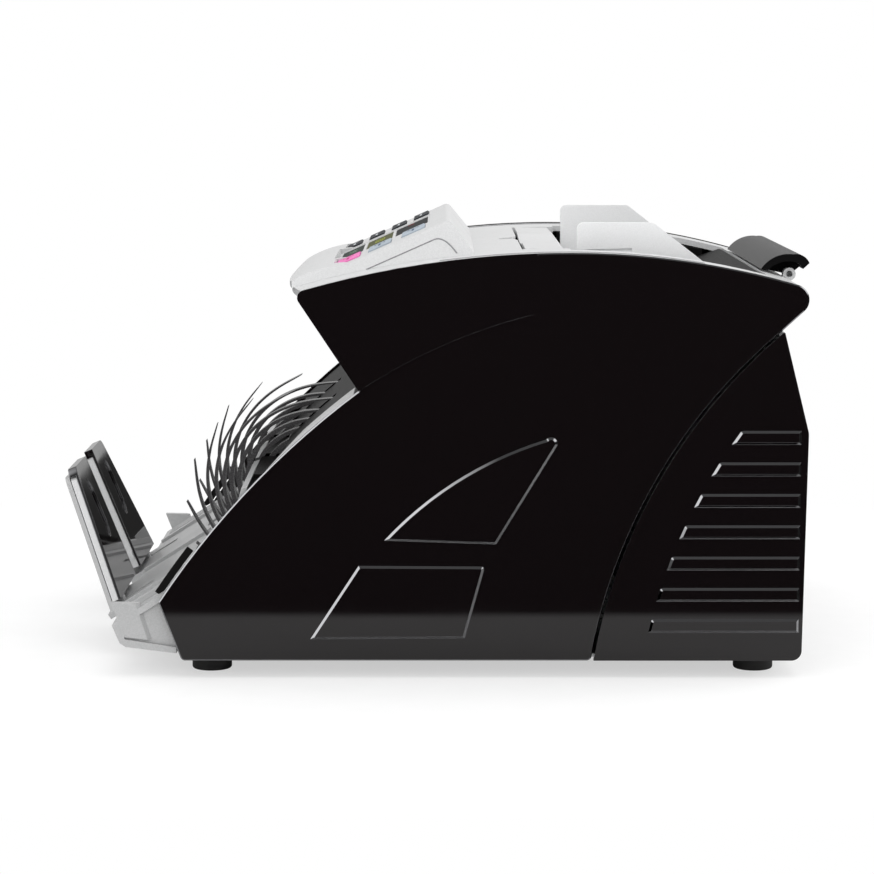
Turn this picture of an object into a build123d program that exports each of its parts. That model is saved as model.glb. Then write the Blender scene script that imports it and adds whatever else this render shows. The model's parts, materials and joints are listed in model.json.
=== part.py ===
"""Banknote counting machine: friction-feed desktop counter with a front stacker.

Millimetres. X is the width, +Y points to the back, +Z is up. The operator stands at -Y. The origin is the
centre of the bounding box on the surface that the rubber feet stand on. Each sub-part is a STEP in parts/.
"""
from build123d import *
from math import atan2, cos, degrees, pi, radians, sin, sqrt, tan
import os

# Overall
HALF_WIDTH = 125.0
WALL = 2.5
GAP = 0.3

# Top line of the side covers: two arcs that meet level at the apex (Y, Z)
APEX_Y, APEX_Z = 54.0, 167.3
FRONT_RADIUS, REAR_RADIUS = 381.0, 318.0

# Side cover outline (Y, Z)
WING_FRONT_TOP = (-53.9, 152.0)
WING_FRONT_LOW = (-28.5, 113.5)
WING_REAR_TOP = (152.2, 152.4)
WING_REAR_LOW = (135.4, 136.3)
FRONT_CURVE_MID = (-71.3, 75.5)
FRONT_CURVE_LOW = (-107.3, 30.2)
FRONT_FOOT = (-98.4, 7.0)
PARTING_MID = (89.3, 81.0)
PARTING_LOW = (62.5, 7.0)
EDGE_CUT = 0.5
PARTING_GAP = 1.1
COVER_FACE = 124.0
INNER_HALF = 121.2
CREASE_END = (41.0, 143.8)
CREASE_MID = (2.0, 130.4)
COVER_POSTS = ((-84.0, 20.0), (40.0, 16.0), (20.0, 150.0), (62.0, 104.0))

# Rear cover
REAR_TOP = (134.6, 136.0)
REAR_BEND = (147.0, 97.0)
REAR_LOW_Y = 145.3
LOUVRE_COUNT = 7
LOUVRE_PITCH = 12.4
LOUVRE_HEIGHT = 6.0
LOUVRE_TOP_Z = 98.3
RELIEF = 0.9
SWITCH = (-27.0, REAR_LOW_Y - 3.5, 36.0)
SCREW_X, SCREW_Z, SCREW_SINK = 112.0, (18.0, 88.0), 1.7

# Rubber feet (X, Y)
FEET = ((-102.0, -88.0), (102.0, -88.0), (-102.0, 128.5), (102.0, 128.5))

# Inner steel frames and shafts
FRAME_X = 96.0
FRAME_THICK = 1.5
SHAFT_R = 4.0
BORE_CLEAR = 0.05
BEARING_R = 7.0
STACKER = (-56.9, 58.2)
TRANSPORT = (2.0, 92.0)
PINCH = (-11.5, 109.9)
FEED = (40.0, 118.0)
PICKUP = (78.0, 129.0)
MOTOR = (85.0, 42.0)
TRANSPORT_R, PINCH_R, FEED_R, PICKUP_R = 14.0, 8.0, 18.0, 12.8
ROLLER_X, ROLLER_WIDTH = 22.0, 12.0
BELT_A = (100.0, 104.5)
BELT_B = (107.0, 111.5)
BELT_INSET = 0.4
PULLEYS = {"motor": 8.0, "transport_a": 12.0, "transport_b": 10.0, "stacker": 15.0,
           "transport_c": 12.0, "feed_c": 12.0, "feed_d": 10.0, "pickup_d": 8.0}
TIE_BARS = ((-86.0, 15.0), (-26.0, 130.0), (20.0, 150.0), (130.0, 120.0), (130.0, 20.0))

# Stacker wheels
WHEEL_R = 46.4
WHEEL_X, WHEEL_WIDTH = 33.0, 6.0
WHEEL_HUB_R = 17.0
BLADES = 16
BLADE_TIP_ANGLE = 158.2
BLADE_SWEEP = (99.0, 620.0, -600.0)
BLADE_ROOT_HALF, BLADE_TIP_HALF = 1.15, 0.1
BLADE_STEPS = 9

# Stacker tray (Y, Z)
TRAY_FRONT = (-126.0, 20.6)
TRAY_BEND = (-92.4, 42.0)
TRAY_MID = (-82.2, 55.8)
TRAY_TOP = (-74.6, 75.0)
FINE_RIBS = (96.0, 99.5, 103.0, 106.5, 110.0)

# Stoppers
STOP_LEAN = 22.2
STOP_FOOT = (-127.3, 21.9)
STOP_LENGTH = 56.0
STOP_INNER_X, STOP_TOP_X, STOP_LOW_X = 12.0, 47.0, 72.0
STOP_FACE, STOP_CORE, STOP_BACK = 1.2, 2.6, 1.9
GROOVE_LOW, GROOVE_HIGH, GROOVE_DEPTH = 22.4, 48.0, 0.8
TONGUE_X = 55.0
STOP_TRAVEL = 12.0
SUPPORT_DROP = 2.68

# Console (Y, Z) of its sloping top, and its half widths
CONSOLE_FRONT = (-39.2, 157.8)
CONSOLE_REAR = (7.0, 178.2)
CONSOLE_HEEL = (16.9, 165.5)
CONSOLE_HALF = 80.0
CONSOLE_FLARE = 1.15
HOOD_TIP_Z = 150.6
HOOD_MID = (-52.3, 155.4)
HOOD_END_S = 5.0
RIDGE_ROUND = 2.5
NOSE_Y, NOSE_SIDE_Y = -60.0, -51.5

# Display windows and keys: positions across, and up the console's slope from its front edge
WINDOW_X = (-41.0, 25.0)
WINDOW_ROWS = ((0.0, 10.6), (12.0, 24.2), (25.6, 40.6))
FRAME_S = (-1.0, 41.6)
NEAR_KEYS = ((0.0, 10.4), (14.4, 24.4), (29.4, 39.6))
NEAR_KEY_X = (30.5, 59.0)
FAR_KEYS = ((1.6, 8.6), (12.4, 19.4), (23.2, 30.2), (34.0, 41.0))
FAR_KEY_X = (-76.0, -47.0)

# Hopper
HOPPER_FRONT_Y, HOPPER_REAR_Y = 55.0, 133.0
APRON_FRONT_Y = 37.4
SLIT = 1.3
HOPPER_HALF = 95.7
FLOOR_REAR = (131.7, 156.2)
FLOOR_FRONT = (57.0, 133.2)
APRON_HALF = 83.5
GUIDE_X, GUIDE_THICK = 80.5, 3.0
GUIDE_IN, GUIDE_OUT = 27.0, 6.0
GUIDE_TAIL = (118.0, 154.3)
LEG_Y = (104.0, 107.5)
PINION = (0.0, 106.0)
PINION_Z = 138.0
PINION_THICK = 4.0
PINION_TEETH = 12
TOOTH_MODULE = 1.0

# Feed gap thumbwheel
KNOB = (31.5, 157.8)
KNOB_R = 5.0

# Carrying handle
HANDLE_AXIS = (145.5, 155.2)
HANDLE_HALF = 70.0
HANDLE_WALL_X = 58.0
LUG_X = 62.0

CONSOLE_SLOPE = degrees(atan2(CONSOLE_REAR[1] - CONSOLE_FRONT[1], CONSOLE_REAR[0] - CONSOLE_FRONT[0]))
FLOOR_SLOPE = degrees(atan2(FLOOR_REAR[1] - FLOOR_FRONT[1], FLOOR_REAR[0] - FLOOR_FRONT[0]))
TRAY_SLOPE = degrees(atan2(TRAY_BEND[1] - TRAY_FRONT[1], TRAY_BEND[0] - TRAY_FRONT[0]))


def top_height(y, drop=0.0):
    """Height of the top line at depth y, less drop."""
    radius = FRONT_RADIUS if y < APEX_Y else REAR_RADIUS
    radius = radius - drop
    centre = APEX_Z - drop - radius
    return centre + sqrt(radius ** 2 - (y - APEX_Y) ** 2)


def top_arc(y0, y1, drop=0.0):
    """Arc of the top line between two depths on one side of the apex."""
    points = [(y, top_height(y, drop)) for y in (y0, (y0 + y1) / 2, y1)]
    return ThreePointArc(*points)


def across(face, x0, x1):
    """A face drawn in (Y, Z), pushed from x0 to x1."""
    return extrude(Plane.YZ.offset(x0) * face, amount=x1 - x0)


def outline(*points):
    return make_face(Polyline(*points, close=True))


def block(x0, x1, y0, y1, z0, z1):
    return Pos((x0 + x1) / 2, (y0 + y1) / 2, (z0 + z1) / 2) * Box(x1 - x0, y1 - y0, z1 - z0)


def rod(centre, radius, x0, x1):
    """A cylinder along X at a (Y, Z) centre."""
    return across(Pos(*centre) * Circle(radius), x0, x1)


def ring(centre, outer, inner, x0, x1):
    return across(Pos(*centre) * (Circle(outer) - Circle(inner)), x0, x1)


def both_sides(solid):
    return [solid, mirror(solid, about=Plane.YZ)]


def group(*solids):
    flat = []
    for item in solids:
        flat.extend(item if isinstance(item, list) else [item])
    singles = []
    for item in flat:
        singles.extend(item.solids())
    return Compound(children=singles)


def corner_round(face, near, radius):
    """Round the corner of a face that lies nearest a point."""
    corner = face.vertices().sort_by_distance(Vector(*near, 0))[0]
    return fillet(corner, radius)


def parting_line(shift=0.0):
    start = (WING_REAR_LOW[0] + shift, WING_REAR_LOW[1])
    middle = (PARTING_MID[0] + shift, PARTING_MID[1])
    return ThreePointArc(start, middle, (PARTING_LOW[0] + shift, PARTING_LOW[1]))


# ---------------------------------------------------------------- shells

def side_outline():
    """The side cover with its upper wing, seen from the side."""
    edges = [
        ThreePointArc(FRONT_CURVE_LOW, FRONT_CURVE_MID, WING_FRONT_LOW),
        Line(WING_FRONT_LOW, (WING_FRONT_TOP[0], top_height(WING_FRONT_TOP[0]))),
        top_arc(WING_FRONT_TOP[0], APEX_Y),
        top_arc(APEX_Y, WING_REAR_TOP[0]),
        Line((WING_REAR_TOP[0], top_height(WING_REAR_TOP[0])), WING_REAR_LOW),
        parting_line(),
        Line(PARTING_LOW, FRONT_FOOT),
        Line(FRONT_FOOT, FRONT_CURVE_LOW),
    ]
    face = make_face(edges)
    face = corner_round(face, WING_FRONT_TOP, 3.0)
    face = corner_round(face, WING_REAR_TOP, 6.0)
    face = corner_round(face, FRONT_FOOT, 2.0)
    return corner_round(face, PARTING_LOW, 2.0)


def wing_outline():
    """The raised upper part of the side cover, above the fading crease."""
    edges = [
        ThreePointArc(WING_FRONT_LOW, CREASE_MID, CREASE_END),
        Line(CREASE_END, (CREASE_END[0], top_height(CREASE_END[0]))),
        top_arc(WING_FRONT_TOP[0], CREASE_END[0]),
        Line((WING_FRONT_TOP[0], top_height(WING_FRONT_TOP[0])), WING_FRONT_LOW),
    ]
    return corner_round(make_face(edges), WING_FRONT_TOP, 3.0)


def raised_fin():
    edges = [
        ThreePointArc((-19.3, 54.5), (13.5, 81.2), (44.5, 94.9)),
        ThreePointArc((44.5, 94.9), (48.2, 95.2), (49.2, 92.2)),
        Line((49.2, 92.2), (25.3, 53.0)),
        Line((25.3, 53.0), (-19.3, 54.5)),
    ]
    return make_face(edges)


def raised_panel():
    return corner_round(outline((-28.8, 45.1), (21.2, 44.8), (13.1, 15.7), (-48.3, 15.3)), (21.2, 44.8), 1.5)


def relief(face, base):
    """A low plateau with sloping sides standing on the cover's face."""
    return extrude(Plane.YZ.offset(base - 0.3) * face, amount=0.3 + RELIEF, taper=45)


def side_cover():
    """Right side cover: a plate with bevelled edges, a raised wing, two raised ornaments and screw posts."""
    shell = across(side_outline(), COVER_FACE - WALL, COVER_FACE)
    shell = chamfer(shell.faces().sort_by(Axis.X)[-1].edges(), EDGE_CUT)
    wing = across(wing_outline(), COVER_FACE - 1.0, HALF_WIDTH + 1.0)
    wedge = outline((COVER_FACE - 1.0, -60.0), (HALF_WIDTH + 0.1, -60.0), (COVER_FACE, CREASE_END[0]),
                    (COVER_FACE - 1.0, CREASE_END[0]))
    wing = wing & extrude(wedge, amount=200.0)
    shell = shell + wing
    shell = shell + relief(raised_fin(), COVER_FACE) + relief(raised_panel(), COVER_FACE)
    for centre in COVER_POSTS:
        shell = shell + ring(centre, 4.0, 1.6, FRAME_X + FRAME_THICK, COVER_FACE - WALL)
    return shell


def rear_outline():
    edges = [
        parting_line(PARTING_GAP),
        Line((PARTING_LOW[0] + PARTING_GAP, PARTING_LOW[1]), (REAR_LOW_Y, PARTING_LOW[1])),
        Line((REAR_LOW_Y, PARTING_LOW[1]), REAR_BEND),
        Line(REAR_BEND, (REAR_TOP[0] + 2.6, WING_REAR_LOW[1])),
        Line((REAR_TOP[0] + 2.6, WING_REAR_LOW[1]), (WING_REAR_LOW[0] + PARTING_GAP, WING_REAR_LOW[1])),
    ]
    face = make_face(edges)
    face = corner_round(face, (REAR_LOW_Y, PARTING_LOW[1]), 4.0)
    return corner_round(face, REAR_BEND, 8.0)


def parting_depth(z):
    """Depth of the parting line at a height, from the circle through its three points."""
    (ay, az), (by, bz), (cy, cz) = WING_REAR_LOW, PARTING_MID, PARTING_LOW
    d = 2 * (ay * (bz - cz) + by * (cz - az) + cy * (az - bz))
    a2, b2, c2 = ay ** 2 + az ** 2, by ** 2 + bz ** 2, cy ** 2 + cz ** 2
    oy = (a2 * (bz - cz) + b2 * (cz - az) + c2 * (az - bz)) / d
    oz = (a2 * (cy - by) + b2 * (ay - cy) + c2 * (by - ay)) / d
    radius = sqrt((ay - oy) ** 2 + (az - oz) ** 2)
    return oy - sqrt(radius ** 2 - (z - oz) ** 2)


def louvre(index):
    """One raised rib of the rear cover, its front end slanted like the parting line."""
    top = LOUVRE_TOP_Z - LOUVRE_PITCH * index
    low = top - LOUVRE_HEIGHT
    end = REAR_LOW_Y - 1.0
    clear = 20.0
    face = outline((parting_depth(top) + clear, top), (end, top), (end, low), (parting_depth(low) + clear, low))
    face = corner_round(face, (parting_depth(top) + clear, top), 1.8)
    return relief(face, COVER_FACE)


def rear_wall_y(z):
    """Outer face of the rear wall at a height."""
    return REAR_LOW_Y + (REAR_BEND[0] - REAR_LOW_Y) * (z - PARTING_LOW[1]) / (REAR_BEND[1] - PARTING_LOW[1])


def rear_cover():
    """Wrap-round rear cover: two ribbed cheeks joined by the rear wall."""
    face = rear_outline()
    shell = across(face, -COVER_FACE, COVER_FACE)
    for x_face in (shell.faces().sort_by(Axis.X)[-1], shell.faces().sort_by(Axis.X)[0]):
        shell = chamfer(x_face.edges(), EDGE_CUT)
    hollow = across(outline((40.0, 0.0), (REAR_LOW_Y - WALL, 0.0), (REAR_BEND[0] - WALL, REAR_BEND[1]),
                            (REAR_TOP[0] - 1.6, WING_REAR_LOW[1] + 5.0), (40.0, 150.0)),
                    -COVER_FACE + WALL, COVER_FACE - WALL)
    shell = shell - hollow
    for index in range(LOUVRE_COUNT):
        for rib in both_sides(louvre(index)):
            shell = shell + rib
    for x in (-SCREW_X, SCREW_X):
        for z in SCREW_Z:
            seat = Pos(x, rear_wall_y(z) - SCREW_SINK, z) * Rot(90, 0, 0) * Cylinder(3.6, 8.0)
            shell = shell - (seat & block(-125.0, 125.0, rear_wall_y(z) - SCREW_SINK, 160.0, 0.0, 120.0))
    for row in range(8):
        z = 100.0 - 6.0 * row
        slot = Pos(40.0, REAR_LOW_Y - 1.0, z) * Box(60.0, 12.0, 2.6)
        shell = shell - slot
    inlet = block(-80.0, -50.0, REAR_LOW_Y - 10.0, REAR_LOW_Y + 5.0, 24.0, 48.0)
    rocker = block(-38.0, -16.0, REAR_LOW_Y - 10.0, REAR_LOW_Y + 5.0, 28.0, 44.0)
    return shell - inlet - rocker


def top_strip(y0, y1, drop0, drop1):
    """Area between two copies of the top line, one lowered by drop0 and one by drop1."""
    edges = []
    for a, b in ((y0, min(y1, APEX_Y)), (max(y0, APEX_Y), y1)):
        if b - a > 0.01:
            edges.append(top_arc(a, b, drop0))
            edges.append(top_arc(a, b, drop1))
    edges.append(Line((y0, top_height(y0, drop0)), (y0, top_height(y0, drop1))))
    edges.append(Line((y1, top_height(y1, drop0)), (y1, top_height(y1, drop1))))
    return make_face(edges)


def nose_plan(half, inset=0.0, rear=147.0):
    """Plan outline with the bowed front."""
    side = NOSE_SIDE_Y + inset
    edges = [
        ThreePointArc((-half, side), (0.0, NOSE_Y + inset), (half, side)),
        Line((half, side), (half, rear)),
        Line((half, rear), (-half, rear)),
        Line((-half, rear), (-half, side)),
    ]
    return make_face(edges)


def top_cover():
    """Curved top deck with the hopper opening, the bowed nose, the rear skirt and the handle lugs."""
    half = INNER_HALF
    deck = across(top_strip(-64.0, 143.5, 0.4, 0.4 + WALL), -half, half)
    plan = nose_plan(half, 1.0)
    deck = deck & extrude(Plane.XY.offset(100.0) * plan, amount=100.0)
    low = (REAR_TOP[0] - 0.6, WING_REAR_LOW[1] + 1.0)
    back = outline((143.4, top_height(143.4, 0.4)), (145.4, 149.4), low, (low[0] - 2.6, low[1] + 1.6),
                   (142.0, 149.6), (141.0, top_height(141.0, 2.9)))
    deck = deck + across(back, -half, half)
    deck = deck - block(-82.0, 74.0, -44.0, 8.0, 140.0, 180.0)
    deck = deck - block(-HOPPER_HALF, HOPPER_HALF, HOPPER_FRONT_Y, HOPPER_REAR_Y, 140.0, 180.0)
    seat = APRON_HALF + SLIT
    deck = deck - block(-seat, seat, APRON_FRONT_Y - SLIT, HOPPER_FRONT_Y + 1.0, 140.0, 180.0)
    notch = outline((-24.0, 37.0), (-6.0, 34.4), (-2.5, 28.6), (2.5, 28.6), (6.0, 34.4), (24.0, 37.0))
    deck = deck - extrude(Plane.XY.offset(150.0) * notch, amount=30.0)
    for x in (-LUG_X, LUG_X):
        lug = rod(HANDLE_AXIS, 2.6, x - 2.4, x + 2.4)
        post = across(outline((141.4, 151.6), (145.3, 150.4), (148.0, 156.0), (144.4, 157.6)), x - 2.4, x + 2.4)
        bore = rod(HANDLE_AXIS, 1.25 + BORE_CLEAR, x - 4.0, x + 4.0)
        deck = deck + lug + post - bore
    return deck


def console_block(inset):
    """The console's outer form, or its hollow when inset is over zero."""
    a = radians(CONSOLE_SLOPE)
    shift = inset / cos(a)
    hood_end = (CONSOLE_FRONT[0] + HOOD_END_S * cos(a), CONSOLE_FRONT[1] + HOOD_END_S * sin(a) - shift)
    tip = (NOSE_Y + inset, HOOD_TIP_Z - inset)
    rear = (CONSOLE_REAR[0] - inset * 0.4, CONSOLE_REAR[1] - shift)
    heel = (CONSOLE_HEEL[0] - inset, CONSOLE_HEEL[1])
    edges = [
        Line((tip[0], 130.0), tip),
        ThreePointArc(tip, (HOOD_MID[0] + inset * 0.5, HOOD_MID[1] - inset), hood_end),
        Line(hood_end, rear),
        Line(rear, heel),
        Line(heel, (heel[0], 130.0)),
        Line((heel[0], 130.0), (tip[0], 130.0)),
    ]
    body = across(make_face(edges), -130.0, 130.0)
    deep = 50.0
    slope = Plane(origin=(0, *CONSOLE_FRONT), x_dir=(1, 0, 0), z_dir=(0, cos(a), sin(a)))
    half = CONSOLE_HALF - inset
    low_half = half + deep * CONSOLE_FLARE
    high_half = half - 10.0 * CONSOLE_FLARE
    sides = outline((-high_half, -10.0), (high_half, -10.0), (low_half, deep), (-low_half, deep))
    body = body & extrude(slope * sides, amount=80.0, both=True)
    body = body & extrude(Plane.XY.offset(100.0) * nose_plan(INNER_HALF, inset, 40.0), amount=100.0)
    under = across(top_strip(-70.0, 50.0, 0.38, 60.0), -130.0, 130.0)
    return body - under


def slope_plane(s, lift=0.0):
    """Plane on the console's slope: s up the slope from its front edge, lift above it."""
    a = radians(CONSOLE_SLOPE)
    y = CONSOLE_FRONT[0] + s * cos(a) - lift * sin(a)
    z = CONSOLE_FRONT[1] + s * sin(a) + lift * cos(a)
    return Plane(origin=(0, y, z), x_dir=(1, 0, 0), z_dir=(0, -sin(a), cos(a)))


def slope_block(x0, x1, s0, s1, low, high):
    """A block lying on the console's slope, from low to high above it."""
    plane = slope_plane((s0 + s1) / 2, low)
    return extrude(plane * (Pos((x0 + x1) / 2, 0) * Rectangle(x1 - x0, s1 - s0)), amount=high - low)


def key_places():
    places = []
    for s0, s1 in NEAR_KEYS:
        places.append((NEAR_KEY_X[0], NEAR_KEY_X[1], s0, s1))
    for s0, s1 in FAR_KEYS:
        places.append((FAR_KEY_X[0], FAR_KEY_X[1], s0, s1))
    return places


def console_housing():
    shell = console_block(0.0)
    back = [e for e in shell.edges() if e.center().Z > 176.0]
    ridges = [e for e in shell.edges() if 160.0 < e.center().Z < 173.0 and 35.0 < e.length < 60.0]
    shell = fillet(back + ridges, RIDGE_ROUND)
    shell = shell - console_block(WALL)
    x0, x1 = WINDOW_X
    shell = shell - slope_block(x0 - 0.4, x1 + 0.4, FRAME_S[0] - 0.1, FRAME_S[1] + 0.1, -6.0, 6.0)
    for x0, x1, s0, s1 in key_places():
        shell = shell - slope_block(x0 - GAP, x1 + GAP, s0 - GAP, s1 + GAP, -6.0, 6.0)
    return shell


def display_frame():
    """Bezel between and around the three display windows."""
    frame = slope_block(WINDOW_X[0] - 0.3, WINDOW_X[1] + 0.3, FRAME_S[0], FRAME_S[1], -2.4, -0.2)
    for s0, s1 in WINDOW_ROWS:
        frame = frame - slope_block(WINDOW_X[0] + 0.5, WINDOW_X[1] - 0.5, s0, s1, -5.0, 5.0)
    return frame


def display_windows():
    panes = []
    for s0, s1 in WINDOW_ROWS:
        panes.append(slope_block(WINDOW_X[0] + 0.5, WINDOW_X[1] - 0.5, s0, s1, -2.0, -0.6))
    return group(panes)


def key(place):
    """A key cap with a rounded rim and a short stem."""
    x0, x1, s0, s1 = place
    cap = slope_block(x0, x1, s0, s1, -2.2, 0.6)
    cap = fillet(cap.faces().sort_by(Axis((0, 0, 0), tuple(slope_plane(0).z_dir)))[-1].edges(), 0.4)
    middle_x, middle_s = (x0 + x1) / 2, (s0 + s1) / 2
    return cap + slope_block(middle_x - 1.5, middle_x + 1.5, middle_s - 1.5, middle_s + 1.5, -2.9, -2.0)


def control_boards():
    """Display module and the two key boards inside the console, with a tact switch under each key."""
    pieces = [slope_block(WINDOW_X[0] - 2.0, WINDOW_X[1] + 2.0, 0.5, 43.0, -5.6, -4.4)]
    pieces.append(slope_block(WINDOW_X[0] + 2.0, WINDOW_X[1] - 2.0, 2.0, 40.0, -4.4, -2.6))
    for x0, x1 in ((NEAR_KEY_X[0] + 1.0, NEAR_KEY_X[1]), FAR_KEY_X):
        pieces.append(slope_block(x0, x1, 2.0, 41.0, -6.8, -5.8))
    for x0, x1, s0, s1 in key_places():
        middle_x, middle_s = (x0 + x1) / 2, (s0 + s1) / 2
        pieces.append(slope_block(middle_x - 2.0, middle_x + 2.0, middle_s - 2.0, middle_s + 2.0, -5.8, -4.8))
    return group(pieces)


def front_curve_point(t, depth=0.0):
    """Point on the side cover's front curve, t from 0 low to 1 high, or depth behind it."""
    curve = ThreePointArc(FRONT_CURVE_LOW, FRONT_CURVE_MID, WING_FRONT_LOW)
    direction = curve % t
    return (curve @ t) + Vector(direction.Y, -direction.X) * depth


def front_strip(inner, outer, t0, t1):
    """Area that follows the front curve, between two depths behind it."""
    a = [front_curve_point(t, inner) for t in (t0, (t0 + t1) / 2, t1)]
    b = [front_curve_point(t, outer) for t in (t0, (t0 + t1) / 2, t1)]
    edges = [ThreePointArc(*a), Line(a[2], b[2]), ThreePointArc(*b), Line(b[0], a[0])]
    return make_face(edges)


def brow_line(t, depth):
    """Point t of the way up the wing's front edge, and depth behind it."""
    low, top = Vector(*WING_FRONT_LOW), Vector(*WING_FRONT_TOP)
    along = (top - low).normalized()
    return low + (top - low) * t + Vector(along.Y, -along.X) * depth


def front_panel():
    """Dark panel under the console that curves down to the note exit, slotted for the wheels."""
    half = INNER_HALF
    lower = across(front_strip(1.2, 3.4, 0.64, 0.97), -half, 86.7)
    brow = [brow_line(0.03, 1.4), brow_line(1.1, 1.4), brow_line(1.1, 3.8), brow_line(0.03, 3.8)]
    upper = across(outline(*brow), -half, half)
    upper = upper - across(top_strip(-70.0, 10.0, -20.0, 0.7 + WALL), -half - 1.0, half + 1.0)
    corner = [front_curve_point(0.96, 1.3), brow_line(0.04, 1.5), brow_line(0.04, 3.7),
              front_curve_point(0.96, 3.3)]
    panel = lower + upper + across(outline(*corner), -half, 86.7)
    for x in (-WHEEL_X, WHEEL_X):
        panel = panel - rod(STACKER, WHEEL_R + 1.0, x - 4.6, x + 4.6)
    return panel


def exit_plate():
    """Shelf behind the wheels that leads the notes from the rollers to the tray, slotted for the wheels."""
    plate = block(-FRAME_X + 1.8, FRAME_X - 1.8, -71.4, -5.0, 75.4, 77.0)
    for x in (-WHEEL_X, WHEEL_X):
        plate = plate - block(x - 5.0, x + 5.0, -80.0, -9.0, 70.0, 80.0)
    return plate


def drive_guards():
    """Curved strips that close the space in front of the belts, outside both side frames."""
    return group(both_sides(across(front_strip(3.6, 4.6, 0.52, 0.93), FRAME_X + 1.8, INNER_HALF)))


def front_cheek():
    """Silver cheek beside the note exit that closes the drive side."""
    cheek = across(front_strip(0.4, 2.8, 0.56, 0.975), 87.0, INNER_HALF)
    top, low = front_curve_point(0.70).X, front_curve_point(0.56).X
    corners = ((80.0, top + 4.0), (87.0, top + 4.0), (119.0, low - 2.0), (119.0, low - 20.0), (80.0, low - 20.0))
    cut = outline(*corners)
    return cheek - extrude(Plane.XY.offset(50.0) * cut, amount=80.0)


# ---------------------------------------------------------------- stacker

def stop_plane(back=0.0):
    """Plane of a stopper: local y runs up it, back is how far in front of the black face."""
    a = radians(STOP_LEAN)
    origin = (0, STOP_FOOT[0] - back * cos(a), STOP_FOOT[1] - back * sin(a))
    return Plane(origin=origin, x_dir=(1, 0, 0), z_dir=(0, -cos(a), -sin(a)))


def stop_layer(back, thick, low, high, inset=0.0):
    """One layer of the right stopper. It narrows upwards and its outer top corner is round."""
    slant = (STOP_LOW_X - STOP_TOP_X) / STOP_LENGTH
    top_x = STOP_LOW_X - slant * high - inset
    low_x = STOP_LOW_X - slant * low - inset
    face = outline((STOP_INNER_X + inset, low), (low_x, low), (top_x, high),
                   (STOP_INNER_X + inset, high))
    face = corner_round(face, (top_x, high), 5.0)
    return extrude(stop_plane(back) * face, amount=thick)


def stop_groove():
    """The U-shaped groove of the black face."""
    middle = (GROOVE_LOW + GROOVE_HIGH) / 2
    face = Pos(WHEEL_X, middle) * SlotOverall(GROOVE_HIGH - GROOVE_LOW, 13.0, rotation=90)
    return extrude(stop_plane(-1.0) * face, amount=1.0 + GROOVE_DEPTH)


def stopper_face():
    plate = stop_layer(0.0, STOP_FACE, 0.6, STOP_LENGTH)
    cap = stop_layer(STOP_FACE, STOP_CORE, STOP_LENGTH - 3.5, STOP_LENGTH)
    return plate + cap - stop_groove()


def stopper_core():
    """Stopper plate with the tongue that slides in the tray's slot, and a round boss at its inner foot."""
    plate = stop_layer(STOP_FACE, STOP_CORE, 0.6, STOP_LENGTH - 3.5, 0.4)
    tongue = extrude(stop_plane(STOP_FACE) * (Pos(TONGUE_X, -1.3) * Rectangle(6.0, 4.6)), amount=STOP_CORE)
    boss = rod((STOP_FOOT[0] - 2.9, STOP_FOOT[1] + 5.9), 1.9, STOP_INNER_X - 2.0, STOP_INNER_X + 0.9)
    boss = boss - extrude(stop_plane(-5.0) * Rectangle(200.0, 40.0), amount=5.0 + STOP_FACE)
    return plate + tongue + boss


def floor_point(s, n):
    """Point s along the tray floor from its front edge and n above it, as (Y, Z)."""
    a = radians(TRAY_SLOPE)
    return (TRAY_FRONT[0] + s * cos(a) - n * sin(a), TRAY_FRONT[1] + s * sin(a) + n * cos(a))


def tray_profile():
    """Folded strip: support, floor, curved back wall."""
    a = radians(TRAY_SLOPE)
    n = Vector(sin(a), -cos(a))
    front, bend = Vector(*TRAY_FRONT), Vector(*TRAY_BEND)
    mid, top = Vector(*TRAY_MID), Vector(*TRAY_TOP)
    edges = [
        Line(front, bend),
        ThreePointArc(bend, mid, top),
        Line(top, top + Vector(2.4, 0.6)),
        ThreePointArc(top + Vector(2.4, 0.6), mid + Vector(2.1, -1.4), bend + n * 2.4),
        Line(bend + n * 2.4, front + n * 2.4),
        Line(front + n * 2.4, front),
    ]
    return make_face(edges)


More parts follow.
